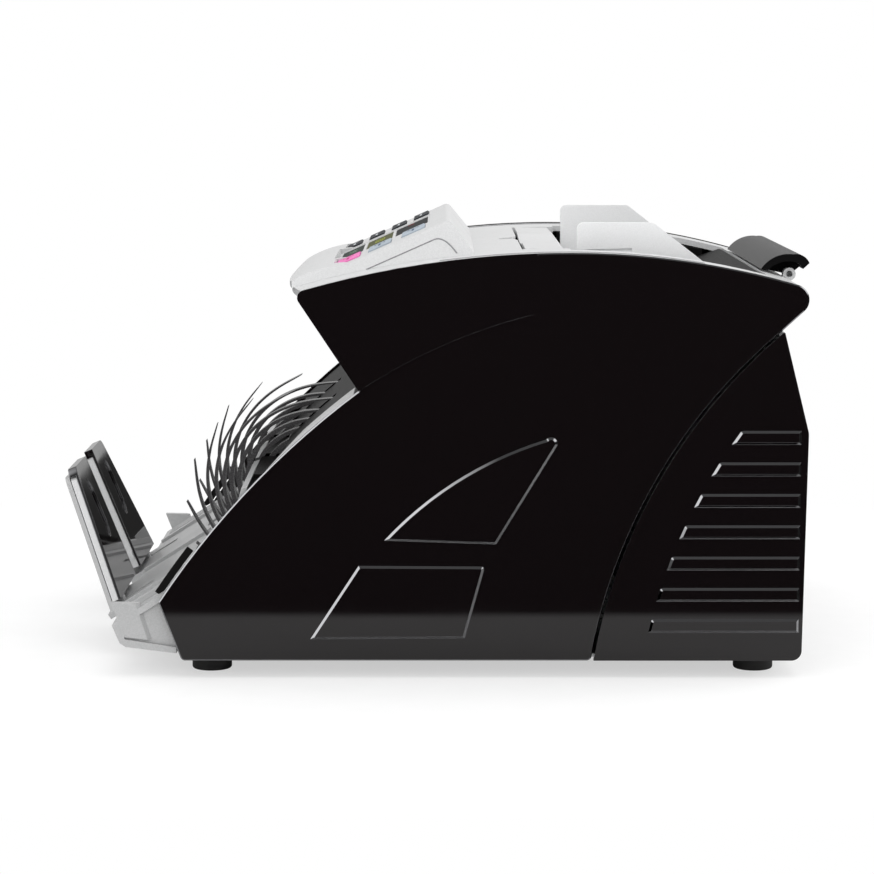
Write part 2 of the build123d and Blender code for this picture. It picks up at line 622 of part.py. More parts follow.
def stacker_tray():
    """Silver tray: ribbed floor, back, front and end walls, and two supports in front of the stoppers."""
    tray = across(tray_profile(), -INNER_HALF, INNER_HALF)
    wall = outline(floor_point(0.0, 0.0), floor_point(4.0, -2.0), (-121.0, 15.0), (-100.6, 11.8), (-100.6, 9.4),
                   (-120.6, 11.9), (-123.0, 13.4))
    tray = tray + across(wall, -INNER_HALF, INNER_HALF)
    end = outline(floor_point(0.0, 0.0), (-122.8, 13.4), (-120.4, 12.0), (-100.6, 9.6), (-99.6, 12.0),
                  (-108.0, 31.5))
    cheek = across(outline((-126.3, 29.6), (-115.0, 29.4), (-110.2, 14.6), (-120.9, 15.8)), INNER_HALF - 3.4, INNER_HALF)
    slanted = cheek.edges().filter_by(lambda e: e.center().X > INNER_HALF - 0.1 and e.center().Y > -113.5)
    cheek = chamfer(slanted, 1.6)
    for piece in both_sides(across(end, INNER_HALF - 4.0, INNER_HALF - 1.5)) + both_sides(cheek):
        tray = tray + piece
    shelf = outline(*[floor_point(s, n) for s, n in ((2.0, 0.0), (-8.0, 0.0), (-8.0, -2.4), (2.0, -2.4))])
    back = STOP_FACE + STOP_CORE + GAP
    for piece in both_sides(across(shelf, STOP_INNER_X, STOP_LOW_X + 2.0)):
        tray = tray + piece
    for piece in both_sides(stop_layer(back, STOP_BACK, -4.5, STOP_LENGTH - SUPPORT_DROP, 0.6)):
        tray = tray + piece
    rib = outline(*[floor_point(s, n) for s, n in ((2.0, -0.5), (36.0, -0.5), (36.0, 1.4), (2.0, 1.4))])
    for x in (0.0, 80.0, -80.0):
        tray = tray + across(rib, x - 2.0, x + 2.0)
    fine = outline(*[floor_point(s, n) for s, n in ((4.0, -0.5), (30.0, -0.5), (30.0, 0.7), (4.0, 0.7))])
    for x in FINE_RIBS:
        for piece in both_sides(across(fine, x, x + 1.0)):
            tray = tray + piece
    for x in (-WHEEL_X, WHEEL_X):
        tray = tray - rod(STACKER, WHEEL_R + 1.0, x - 5.0, x + 5.0)
        tray = tray - block(x - 5.0, x + 5.0, -92.0, -60.0, 40.0, 90.0)
    far = STOP_TRAVEL + 0.4
    slot = outline(*[floor_point(s, n) for s, n in ((-6.3, -5.0), (far, -5.0), (far, 2.0), (-6.3, 2.0))])
    for cut in both_sides(across(slot, TONGUE_X - 3.6, TONGUE_X + 3.6)):
        tray = tray - cut
    return tray


def blade_point(angle, inward):
    """Point on a blade's centre line. Inward is 0 at its tip and 1 at the shaft's centre."""
    sweep = sum(factor * inward ** (power + 1) for power, factor in enumerate(BLADE_SWEEP))
    return Vector(WHEEL_R * (1.0 - inward), 0).rotate(Axis.Z, angle + sweep)


def blade_face(angle):
    """One curved blade from the hub to its pointed tip, nearly along the rim at mid length."""
    root = 1.0 - (WHEEL_HUB_R - 1.5) / WHEEL_R
    one, other = [], []
    for i in range(BLADE_STEPS + 1):
        t = i / BLADE_STEPS
        inward = root * (1.0 - t) ** 1.4
        middle = blade_point(angle, inward)
        along = (blade_point(angle, inward - 0.01) - blade_point(angle, inward + 0.01)).normalized()
        half = BLADE_ROOT_HALF * (1 - t) + BLADE_TIP_HALF * t
        one.append(middle + Vector(-along.Y, along.X) * half)
        other.append(middle - Vector(-along.Y, along.X) * half)
    edges = [Spline(*one), Line(one[-1], other[-1]), Spline(*other), Line(other[0], one[0])]
    return make_face(edges)


def stacker_wheel(x):
    wheel = ring(STACKER, WHEEL_HUB_R, SHAFT_R, x - WHEEL_WIDTH / 2, x + WHEEL_WIDTH / 2)
    for i in range(BLADES):
        blade = Pos(*STACKER) * blade_face(BLADE_TIP_ANGLE - 360.0 / BLADES * i)
        wheel = wheel + across(blade, x - WHEEL_WIDTH / 2, x + WHEEL_WIDTH / 2)
    return wheel


# ---------------------------------------------------------------- drive

def shaft(centre, x0, x1):
    return chamfer(rod(centre, SHAFT_R, x0, x1).edges(), 0.4)


def rollers(centre, radius, positions, width=ROLLER_WIDTH):
    """Rubber-tyred rollers on one shaft."""
    pieces = []
    for x in positions:
        body = ring(centre, radius, SHAFT_R, x - width / 2, x + width / 2)
        pieces.append(chamfer(body.edges().filter_by(lambda e: e.length > 2 * pi * (SHAFT_R + 1.0)), 0.6))
    return group(pieces)


def pulley(centre, radius, x0, x1):
    """A flanged pulley."""
    rim = 0.8
    body = ring(centre, radius, SHAFT_R, x0, x1)
    body = body + ring(centre, radius + 2.2, SHAFT_R, x0 - rim, x0)
    return body + ring(centre, radius + 2.2, SHAFT_R, x1, x1 + rim)


def belt(first, r1, second, r2, x0, x1):
    """Closed belt round two pulleys, a running clearance outside them."""
    outer = make_hull([*(Pos(*first) * Circle(r1 + 1.8)).edges(), *(Pos(*second) * Circle(r2 + 1.8)).edges()])
    inner = make_hull([*(Pos(*first) * Circle(r1 + GAP)).edges(), *(Pos(*second) * Circle(r2 + GAP)).edges()])
    return across(outer - inner, x0, x1)


def drive_belts():
    a0, a1 = BELT_A[0] + BELT_INSET, BELT_A[1] - BELT_INSET
    b0, b1 = BELT_B[0] + BELT_INSET, BELT_B[1] - BELT_INSET
    return group(
        belt(MOTOR, PULLEYS["motor"], TRANSPORT, PULLEYS["transport_a"], a0, a1),
        belt(TRANSPORT, PULLEYS["transport_b"], STACKER, PULLEYS["stacker"], b0, b1),
        belt(TRANSPORT, PULLEYS["transport_c"], FEED, PULLEYS["feed_c"], -a1, -a0),
        belt(FEED, PULLEYS["feed_d"], PICKUP, PULLEYS["pickup_d"], -b1, -b0),
    )


def frame_plate():
    """Right inner steel side frame, bored for the bearings and the tie bars."""
    face = outline((-88.0, 10.2), (-97.0, 28.0), (-66.0, 68.0), (-36.0, 99.0), (-22.0, 112.0), (-41.0, 146.0),
                   (-20.0, 153.0), (30.0, 161.0), (30.0, 128.0), (66.0, 128.0), (68.0, 137.2), (88.0, 137.2),
                   (90.0, 128.0), (136.0, 128.0), (140.0, 100.0), (140.0, 10.2))
    plate = across(face, FRAME_X, FRAME_X + FRAME_THICK)
    for centre in (STACKER, TRANSPORT, PINCH, FEED, PICKUP):
        plate = plate - rod(centre, BEARING_R, FRAME_X - 1.0, FRAME_X + 3.0)
    plate = plate - rod(MOTOR, 10.0, FRAME_X - 1.0, FRAME_X + 3.0)
    for y, z in ((30.0, 40.0), (30.0, 72.0), (95.0, 96.0)):
        plate = plate - rod((y, z), 11.0, FRAME_X - 1.0, FRAME_X + 3.0)
    return plate


def tie_bars():
    pieces = []
    for centre in TIE_BARS:
        pieces.append(rod(centre, 4.0, -FRAME_X, FRAME_X))
    return group(pieces)


def shaft_bearings():
    pieces = []
    for centre in (STACKER, TRANSPORT, PINCH, FEED, PICKUP):
        body = ring(centre, BEARING_R, SHAFT_R + BORE_CLEAR, FRAME_X, FRAME_X + FRAME_THICK)
        flange = ring(centre, BEARING_R + 0.8, SHAFT_R + BORE_CLEAR, FRAME_X - 1.4, FRAME_X)
        pieces.extend(both_sides(body + flange))
    return group(pieces)


def main_motor():
    body = rod(MOTOR, 26.0, 34.0, FRAME_X)
    body = chamfer(body.edges(), 1.5) + rod(MOTOR, 9.8, FRAME_X - 1.0, FRAME_X + FRAME_THICK)
    bore = rod(MOTOR, SHAFT_R + BORE_CLEAR, 60.0, FRAME_X + 4.0)
    return body - bore


def motor_pulley():
    spindle = rod(MOTOR, SHAFT_R, 62.0, BELT_A[1] + 1.5)
    return spindle + pulley(MOTOR, PULLEYS["motor"], *BELT_A)


def base_pan():
    """Folded steel pan that carries the frames, the tray and the rear cover."""
    pan = block(-INNER_HALF, INNER_HALF, -94.0, 142.0, 8.0, 9.6)
    for y in (-60.0, -40.0, -20.0, 0.0, 20.0):
        pan = pan - block(-70.0, -50.0, y - 2.0, y + 2.0, 7.0, 11.0)
        pan = pan - block(50.0, 70.0, y - 2.0, y + 2.0, 7.0, 11.0)
    return pan


def rubber_feet():
    pieces = []
    for x, y in FEET:
        foot = Pos(x, y, 4.0) * Cylinder(7.9, 8.0)
        pieces.append(fillet(foot.edges().sort_by(Axis.Z)[0], 1.0))
    return group(pieces)


def cover_screws():
    """Pan-head screws sunk in the rear cover."""
    pieces = []
    for x in (-SCREW_X, SCREW_X):
        for z in SCREW_Z:
            seat = rear_wall_y(z) - SCREW_SINK
            head = Pos(x, seat + 0.7, z) * Rot(90, 0, 0) * Cylinder(3.2, 1.4)
            cross = Pos(x, seat + 1.4, z) * Box(3.4, 1.0, 0.8) + Pos(x, seat + 1.4, z) * Box(0.8, 1.0, 3.4)
            pieces.append(head - cross)
    return group(pieces)


# ---------------------------------------------------------------- hopper

def floor_z(y):
    return FLOOR_FRONT[1] + (y - FLOOR_FRONT[0]) * tan(radians(FLOOR_SLOPE))


def hopper_floor():
    """Black hopper floor with its side walls, slotted for the pickup rollers and the guide legs."""
    rear = HOPPER_REAR_Y - 0.4
    strip = outline(FLOOR_FRONT, FLOOR_REAR, (rear, FLOOR_REAR[1]), (rear, FLOOR_REAR[1] - 2.6),
                    (FLOOR_FRONT[0], FLOOR_FRONT[1] - 2.1))
    floor = across(strip, -HOPPER_HALF + GAP, HOPPER_HALF - GAP)
    wall_end = 124.0
    wall = outline((FLOOR_FRONT[0], FLOOR_FRONT[1] - 0.5), (wall_end, floor_z(wall_end) - 0.5),
                   (wall_end, top_height(wall_end, 3.2)), (100.0, top_height(100.0, 3.2)),
                   (APEX_Y + 3.0, top_height(APEX_Y + 3.0, 3.2)))
    for piece in both_sides(across(wall, HOPPER_HALF - GAP - 2.0, HOPPER_HALF - GAP)):
        floor = floor + piece
    for x in (-ROLLER_X, ROLLER_X):
        floor = floor - rod(PICKUP, PICKUP_R + 0.8, x - 7.5, x + 7.5)
    z = floor_z(LEG_Y[0])
    inner, outer = GUIDE_X - GUIDE_IN - 0.8, GUIDE_X + GUIDE_THICK + GUIDE_OUT + 0.8
    for slot in both_sides(block(inner, outer, LEG_Y[0] - 0.8, LEG_Y[1] + 0.8, z - 8.0, z + 8.0)):
        floor = floor - slot
    return floor


def hopper_apron():
    """Silver front wall of the hopper: a level lip, dished in the middle, turned down towards the feed."""
    lip_top = top_height(45.0, 0.5)
    profile = outline((APRON_FRONT_Y, lip_top), (52.0, lip_top), (54.4, lip_top - 2.4), (54.4, 145.0),
                      (52.2, 145.0), (52.2, lip_top - 2.6), (APRON_FRONT_Y, lip_top - 2.4))
    apron = across(profile, -APRON_HALF, APRON_HALF)
    dish = Pos(0, 45.0, lip_top + 398.0) * Rot(90, 0, 0) * Cylinder(400.0, 30.0)
    return apron - (dish & block(-60.0, 60.0, 30.0, 60.0, 150.0, 170.0))


def note_guide(side):
    """Note guide drawn on the right: a wing plate, and the leg that reaches its rack below the hopper floor."""
    front, rear = (58.2, floor_z(58.2) + 0.6), (GUIDE_TAIL[0], floor_z(GUIDE_TAIL[0]) + 0.6)
    face = outline(front, (58.2, 177.0), (88.6, 177.0), GUIDE_TAIL, rear)
    face = corner_round(face, (58.2, 177.0), 2.5)
    face = corner_round(face, (88.6, 177.0), 2.0)
    plate = across(face, GUIDE_X, GUIDE_X + GUIDE_THICK)
    slot = outline((60.5, 166.2), (80.0, 166.8), (80.0, 164.9))
    slot = across(slot, GUIDE_X + 1.2, GUIDE_X + GUIDE_THICK + 1.0)
    leg = block(GUIDE_X, GUIDE_X + GUIDE_THICK, LEG_Y[0], LEG_Y[1], PINION_Z, floor_z(LEG_Y[0]) + 2.0)
    y0, y1 = (95.7, LEG_Y[1]) if side > 0 else (LEG_Y[0], 116.3)
    foot = block(GUIDE_X, GUIDE_X + GUIDE_THICK, y0, y1, PINION_Z, PINION_Z + PINION_THICK)
    guide = plate - slot + leg + foot
    return (guide if side > 0 else mirror(guide, about=Plane.YZ)) + rack(side)


def rack(side):
    """Rack bar with teeth, on the front side of the pinion for the right guide, behind it for the left."""
    pitch_line = PINION[1] - side * TOOTH_MODULE * PINION_TEETH / 2
    root_line = pitch_line - side * 1.15
    tip_line = pitch_line + side * 0.75
    end = -38.0 * side
    bar = block(min(end, side * GUIDE_X), max(end, side * GUIDE_X), min(root_line, root_line - side * 3.2),
                max(root_line, root_line - side * 3.2), PINION_Z, PINION_Z + PINION_THICK)
    pitch = pi * TOOTH_MODULE
    for i in range(-11, 13):
        x = side * (i + 0.5) * pitch
        base = root_line - side * 0.2
        tooth = outline((x - 0.85, base), (x + 0.85, base), (x + 0.28, tip_line), (x - 0.28, tip_line))
        bar = bar + extrude(Plane.XY.offset(PINION_Z) * tooth, amount=PINION_THICK)
    return bar


def guide_pinion():
    """Pinion that keeps the two guides centred."""
    radius = TOOTH_MODULE * PINION_TEETH / 2
    gear = Circle(radius - 1.2)
    for i in range(PINION_TEETH):
        low, high = radius - 1.5, radius + 0.75
        tooth = outline((low, -0.85), (high, -0.26), (high, 0.26), (low, 0.85))
        gear = gear + Rot(0, 0, 90.0 + i * 360.0 / PINION_TEETH) * tooth
    gear = gear - Circle(2.0 + BORE_CLEAR)
    return Pos(*PINION, PINION_Z) * extrude(gear, amount=PINION_THICK)


def pinion_bracket():
    """Cross rail under the hopper floor with the pinion's post."""
    rail = block(-FRAME_X, FRAME_X, 98.0, 114.0, PINION_Z - 3.6, PINION_Z - 2.0)
    rail = rail - block(-85.0, 85.0, 97.0, 103.0, PINION_Z - 5.0, PINION_Z)
    for piece in both_sides(block(FRAME_X - 1.5, FRAME_X, 98.0, 114.0, 120.0, PINION_Z - 3.6)):
        rail = rail + piece
    post = Pos(*PINION, PINION_Z + 0.2) * Cylinder(2.0, 2 * PINION_THICK)
    return rail + (post & block(-5.0, 5.0, 100.0, 112.0, PINION_Z - 3.0, PINION_Z + 6.0))


def handle_profile():
    edges = [
        ThreePointArc((133.3, 157.6), (138.8, 162.4), (146.4, 163.6)),
        ThreePointArc((146.4, 163.6), (150.6, 162.8), (153.0, 160.0)),
        Line((153.0, 160.0), (150.4, 157.6)),
        ThreePointArc((150.4, 157.6), (148.6, 159.6), (146.2, 160.6)),
        ThreePointArc((146.2, 160.6), (140.2, 159.9), (135.9, 156.9)),
        Line((135.9, 156.9), (133.3, 157.6)),
    ]
    return make_face(edges)


def handle_grip():
    """Arched flap grip, open at its ends, with inner walls that carry the hinge pins."""
    grip = across(handle_profile(), -HANDLE_HALF, HANDLE_HALF)
    end = make_face([
        ThreePointArc((133.3, 157.6), (138.8, 162.4), (146.4, 163.6)),
        ThreePointArc((146.4, 163.6), (150.6, 162.8), (153.0, 160.0)),
        Line((153.0, 160.0), (147.6, 155.6)),
        Line((147.6, 155.6), (143.4, 155.2)),
        Line((143.4, 155.2), (133.3, 157.6)),
    ])
    end = end + Pos(*HANDLE_AXIS) * Circle(2.05)
    for piece in both_sides(across(end, HANDLE_WALL_X - 3.0, HANDLE_WALL_X)):
        grip = grip + piece
    return grip - rod(HANDLE_AXIS, 1.25, -HANDLE_WALL_X - 1.0, HANDLE_WALL_X + 1.0)


def handle_pins():
    return group(both_sides(rod(HANDLE_AXIS, 1.25, HANDLE_WALL_X - 3.0, LUG_X + 3.0)))


# ---------------------------------------------------------------- electrics and small pieces

def retard_pad():
    """Friction block over the feed rollers on its carrier."""
    carrier = block(-34.0, 34.0, 24.0, 36.0, 140.0, 146.0)
    blocks = []
    for x in (-ROLLER_X, ROLLER_X):
        blocks.append(block(x - 6.0, x + 6.0, 26.0, 36.0, 128.0, 140.0) - rod(FEED, FEED_R + 0.35, -60.0, 60.0))
    return group(carrier, blocks)


def gap_knob():
    """Thumbwheel that sets the feed gap, set below the notch of the deck."""
    wheel = rod(KNOB, KNOB_R, -7.0, 7.0)
    for i in range(18):
        wheel = wheel - Pos(0, *KNOB) * Rot(20.0 * i, 0, 0) * Pos(0, 0, KNOB_R) * Box(20.0, 0.7, 0.8)
    return wheel + rod(KNOB, 2.0, -12.0, 12.0)


def knob_bracket():
    pieces = []
    for side in both_sides(block(8.5, 10.0, KNOB[0] - 3.5, KNOB[0] + 3.5, 146.0, KNOB[1] + 3.4)):
        pieces.append(side - rod(KNOB, 2.0 + BORE_CLEAR, -20.0, 20.0))
    return group(pieces)


def main_board():
    board = block(-84.0, 84.0, -4.0, 54.0, 14.6, 16.2)
    pieces = [board]
    for x in (-78.0, 78.0):
        for y in (2.0, 48.0):
            pieces.append(Pos(x, y, 12.1) * Cylinder(3.0, 5.0))
    for x, y, w, d, h in ((-50.0, 20.0, 24.0, 18.0, 3.0), (-10.0, 30.0, 14.0, 14.0, 2.4),
                          (30.0, 15.0, 30.0, 9.0, 8.0), (62.0, 38.0, 12.0, 12.0, 14.0),
                          (20.0, 40.0, 10.0, 10.0, 11.0)):
        pieces.append(block(x - w / 2, x + w / 2, y - d / 2, y + d / 2, 16.2, 16.2 + h))
    return group(pieces)


def transformer():
    core = block(-86.0, -34.0, 72.0, 112.0, 9.6, 50.0)
    coil = block(-78.0, -42.0, 64.0, 120.0, 16.0, 44.0)
    return fillet(core.edges().filter_by(Axis.Y), 2.0) + fillet(coil.edges().filter_by(Axis.X), 4.0)


def power_inlet():
    """Three-pin mains inlet with its fuse drawer."""
    y = REAR_LOW_Y
    shell = block(-79.8, -50.2, y - 22.0, y + 1.2, 24.2, 47.8)
    shell = shell - block(-76.5, -53.5, y - 16.0, y + 3.0, 32.4, 45.6)
    fuse = block(-74.0, -56.0, y + 1.2, y + 1.9, 26.2, 30.6)
    pieces = [shell + fuse]
    for x, z in ((-70.0, 37.0), (-65.0, 41.0), (-60.0, 37.0)):
        pieces.append(block(x - 1.0, x + 1.0, y - 16.0, y - 3.0, z - 2.0, z + 2.0))
    return group(pieces)


def switch_housing():
    x, y, z = SWITCH
    shell = block(x - 10.8, x + 10.8, REAR_LOW_Y - 18.0, REAR_LOW_Y + 1.0, z - 7.8, z + 7.8)
    shell = shell - block(x - 8.6, x + 8.6, REAR_LOW_Y - 9.5, REAR_LOW_Y + 3.0, z - 5.6, z + 5.6)
    return shell - Pos(x, y, z) * Cylinder(1.0 + BORE_CLEAR, 13.4)


def power_rocker():
    """Rocker with two faces that meet at its pivot line, on a vertical pin."""
    face = outline((-7.6, 0.9), (-7.6, 3.4), (0.0, 2.2), (7.6, 5.0), (7.6, 0.9), (3.0, -3.0), (-3.0, -3.0))
    body = Pos(0, 0, -5.1) * extrude(face, amount=10.2) + Cylinder(1.0, 13.0)
    return Pos(*SWITCH) * body


def sensor_set():
    """Magnetic head bar, ultraviolet lamp, infrared counting sensors, and the note sensors beside the tray."""
    pieces = [block(-40.0, 40.0, 18.0, 24.0, 72.0, 80.0)]
    pieces.append(rod((30.0, 94.0), 3.5, -60.0, 60.0))
    for x in (-60.0, 60.0):
        pieces.append(block(x - 5.0, x + 5.0, -40.0, -30.0, 84.0, 92.0))
    pieces.append(rod((-16.0, 88.0), 2.5, -FRAME_X, FRAME_X))
    lip = across(front_strip(-3.4, -0.5, 0.02, 0.21), INNER_HALF - 1.3, INNER_HALF)
    below = outline(*[floor_point(s, n) for s, n in ((-10.0, 0.4), (60.0, 0.4), (60.0, -20.0), (-10.0, -20.0))])
    pieces.extend(both_sides(lip - across(below, 100.0, 130.0)))
    return group(pieces)


def write(name, shape):
    export_step(shape, os.path.join("parts", name + ".step"))


def main():
    os.makedirs("parts", exist_ok=True)
    cover = side_cover()
    write("right_side_cover", cover)
    write("left_side_cover", mirror(cover, about=Plane.YZ))
    write("rear_cover", rear_cover())
    write("top_cover", top_cover())
    write("console_housing", console_housing())
    write("display_frame", display_frame())
    write("display_windows", display_windows())
    write("control_boards", control_boards())
    for index, place in enumerate(key_places()):
        write("key_" + str(index + 1), key(place))
    write("front_panel", front_panel())
    write("front_cheek", front_cheek())
    write("exit_plate", exit_plate())
    write("drive_guards", drive_guards())
    write("stacker_tray", stacker_tray())
    face, core = stopper_face(), stopper_core()
    write("right_stopper_face", face)
    write("left_stopper_face", mirror(face, about=Plane.YZ))
    write("right_stopper", core)
    write("left_stopper", mirror(core, about=Plane.YZ))
    write("right_stacker_wheel", stacker_wheel(WHEEL_X))
    write("left_stacker_wheel", stacker_wheel(-WHEEL_X))
    write("stacker_shaft", group(shaft(STACKER, -100.0, BELT_B[1] + 1.0),
                                 pulley(STACKER, PULLEYS["stacker"], *BELT_B)))
    write("transport_rollers", rollers(TRANSPORT, TRANSPORT_R, (-60.0, -ROLLER_X, ROLLER_X, 60.0)))
    write("transport_shaft", group(shaft(TRANSPORT, -BELT_A[1] - 1.0, BELT_B[1] + 1.0),
                                   pulley(TRANSPORT, PULLEYS["transport_a"], *BELT_A),
                                   pulley(TRANSPORT, PULLEYS["transport_b"], *BELT_B),
                                   pulley(TRANSPORT, PULLEYS["transport_c"], -BELT_A[1], -BELT_A[0])))
    write("pinch_rollers", group(shaft(PINCH, -99.0, 99.0),
                                 rollers(PINCH, PINCH_R, (-60.0, -ROLLER_X, ROLLER_X, 60.0))))
    write("feed_rollers", rollers(FEED, FEED_R, (-ROLLER_X, ROLLER_X)))
    write("feed_shaft", group(shaft(FEED, -BELT_B[1] - 1.0, 99.0),
                              pulley(FEED, PULLEYS["feed_c"], -BELT_A[1], -BELT_A[0]),
                              pulley(FEED, PULLEYS["feed_d"], -BELT_B[1], -BELT_B[0])))
    write("pickup_shaft", group(shaft(PICKUP, -BELT_B[1] - 1.0, 99.0),
                                pulley(PICKUP, PULLEYS["pickup_d"], -BELT_B[1], -BELT_B[0])))
    write("pickup_rollers", rollers(PICKUP, PICKUP_R, (-ROLLER_X, ROLLER_X)))
    write("main_motor", main_motor())
    write("motor_pulley", motor_pulley())
    write("drive_belts", drive_belts())
    write("shaft_bearings", shaft_bearings())
    frame = frame_plate()
    write("right_side_frame", frame)
    write("left_side_frame", mirror(frame, about=Plane.YZ))
    write("tie_bars", tie_bars())
    write("base_pan", base_pan())
    write("rubber_feet", rubber_feet())
    write("cover_screws", cover_screws())
    write("hopper_floor", hopper_floor())
    write("hopper_apron", hopper_apron())
    write("right_note_guide", note_guide(1))
    write("left_note_guide", note_guide(-1))
    write("guide_pinion", guide_pinion())
    write("pinion_bracket", pinion_bracket())
    write("handle_grip", handle_grip())
    write("handle_pins", handle_pins())
    write("retard_pad", group(retard_pad(), knob_bracket()))
    write("gap_knob", gap_knob())
    write("main_board", main_board())
    write("transformer", transformer())
    write("power_inlet", power_inlet())
    write("switch_housing", switch_housing())
    write("power_rocker", power_rocker())
    write("sensor_set", sensor_set())


main()
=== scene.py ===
"""Looks of the banknote counting machine: materials, edge finish, printed details, studio and camera.

Metres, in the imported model's frame: X is the width, +Y points to the back, +Z is up, the floor is at zero.
"""
import json
import math

import bmesh
import bpy
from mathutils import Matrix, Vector
from mathutils.bvhtree import BVHTree


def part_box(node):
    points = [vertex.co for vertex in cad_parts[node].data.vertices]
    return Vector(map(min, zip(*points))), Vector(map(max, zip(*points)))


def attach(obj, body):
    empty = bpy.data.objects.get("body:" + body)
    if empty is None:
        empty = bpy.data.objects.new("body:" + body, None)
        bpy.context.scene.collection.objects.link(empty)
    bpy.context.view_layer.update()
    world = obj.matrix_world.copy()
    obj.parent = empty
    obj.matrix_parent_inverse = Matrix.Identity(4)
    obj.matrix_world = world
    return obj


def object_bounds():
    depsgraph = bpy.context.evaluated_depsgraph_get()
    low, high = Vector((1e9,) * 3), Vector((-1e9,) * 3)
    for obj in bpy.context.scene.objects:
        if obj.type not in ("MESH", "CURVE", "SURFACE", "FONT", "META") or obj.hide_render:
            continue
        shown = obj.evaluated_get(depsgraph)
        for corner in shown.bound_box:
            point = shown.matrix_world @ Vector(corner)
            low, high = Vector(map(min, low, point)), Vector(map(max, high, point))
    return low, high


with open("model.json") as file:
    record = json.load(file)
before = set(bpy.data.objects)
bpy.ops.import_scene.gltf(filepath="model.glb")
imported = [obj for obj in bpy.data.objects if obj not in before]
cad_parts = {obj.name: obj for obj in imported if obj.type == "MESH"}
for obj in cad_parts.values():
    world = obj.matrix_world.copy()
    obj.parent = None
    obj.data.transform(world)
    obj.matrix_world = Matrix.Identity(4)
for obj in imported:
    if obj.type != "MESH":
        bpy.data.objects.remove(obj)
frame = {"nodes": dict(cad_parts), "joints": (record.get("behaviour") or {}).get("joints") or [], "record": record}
cad_low, cad_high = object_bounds()
nodes = frame["nodes"]
MM = 0.001

# Camera: a long lens square to the right-hand side, a little above it
CAMERA_FROM_SIDE = 1.1415
CAMERA_Y = 0.00205
CAMERA_HEIGHT = 0.2349
CAMERA_TILT = 6.95
LENS = 121.7

# Studio: how far the floor's bright zone reaches in reflections, and how the floor fades to white
GLOW_NEAR, GLOW_FAR, FLOOR_GLOW = 0.130, 0.145, 0.7
FADE_NEAR, FADE_FAR = 0.02, 0.22
FLOOR_RADIUS = 6.0
EVEN_LIGHT = 0.95
OVERHEAD_GLOW, SIDE_GLOW, FRONT_GLOW, REAR_GLOW = 0.16, 0.65, 2.0, 1.8

# Soft lights, none of them seen in reflections: place, size and power in watts
LIGHT_TARGET = (0.0, 0.0, 0.1)
LIGHTS = {"overhead": ((0.2, 0.1, 1.6), (1.4, 1.4), 8.0),
          "rear": ((-0.3, 1.5, 0.9), (1.2, 0.8), 12.0),
          "fill": ((1.7, -0.5, 0.8), (1.0, 0.8), 6.5)}

# The console's slope: the keys press along its normal
KEY_JOINT = next(joint for joint in frame["joints"] if joint["name"] == "button_1_press")
SLOPE_UP = Vector((0.0, abs(KEY_JOINT["axis"][2]), abs(KEY_JOINT["axis"][1])))
SLOPE_NORMAL = Vector((0.0, -abs(KEY_JOINT["axis"][1]), abs(KEY_JOINT["axis"][2])))


# ---------------------------------------------------------------- camera and studio

def add_camera():
    """Long-lens camera that looks along -X, tilted a little down."""
    data = bpy.data.cameras.new("camera")
    data.lens = LENS
    data.sensor_width = 36.0
    data.clip_start = 0.05
    data.clip_end = 50.0
    camera = bpy.data.objects.new("camera", data)
    bpy.context.scene.collection.objects.link(camera)
    camera.location = (cad_high.x + CAMERA_FROM_SIDE, CAMERA_Y, CAMERA_HEIGHT)
    camera.rotation_euler = (math.radians(90.0 - CAMERA_TILT), 0.0, math.radians(90.0))
    bpy.context.scene.camera = camera


class Nodes:
    """Short way to add and link shader nodes in one tree."""

    def __init__(self, tree):
        self.tree = tree

    def add(self, kind, inputs=None, **settings):
        """A node with its inputs set or linked."""
        node = self.tree.nodes.new(kind)
        for name, value in settings.items():
            setattr(node, name, value)
        for name, value in (inputs or {}).items():
            socket = node.inputs[name]
            if isinstance(value, bpy.types.NodeSocket):
                self.tree.links.new(value, socket)
            else:
                socket.default_value = value
        return node

    def math(self, operation, a, b=0.0, c=0.0):
        """Result of a Math node."""
        return self.add("ShaderNodeMath", {0: a, 1: b, 2: c}, operation=operation).outputs[0]

    def fit(self, value, low, high, to_low=0.0, to_high=1.0):
        """Map a value from one range to another, held within it."""
        inputs = {"Value": value, "From Min": low, "From Max": high, "To Min": to_low, "To Max": to_high}
        return self.add("ShaderNodeMapRange", inputs).outputs["Result"]

    def mix(self, factor, a, b):
        """Blend of two colours."""
        node = self.add("ShaderNodeMix", data_type="RGBA")
        for socket, value in ((node.inputs[0], factor), (node.inputs[6], a), (node.inputs[7], b)):
            if isinstance(value, bpy.types.NodeSocket):
                self.tree.links.new(value, socket)
            else:
                socket.default_value = value
        return node.outputs[2]


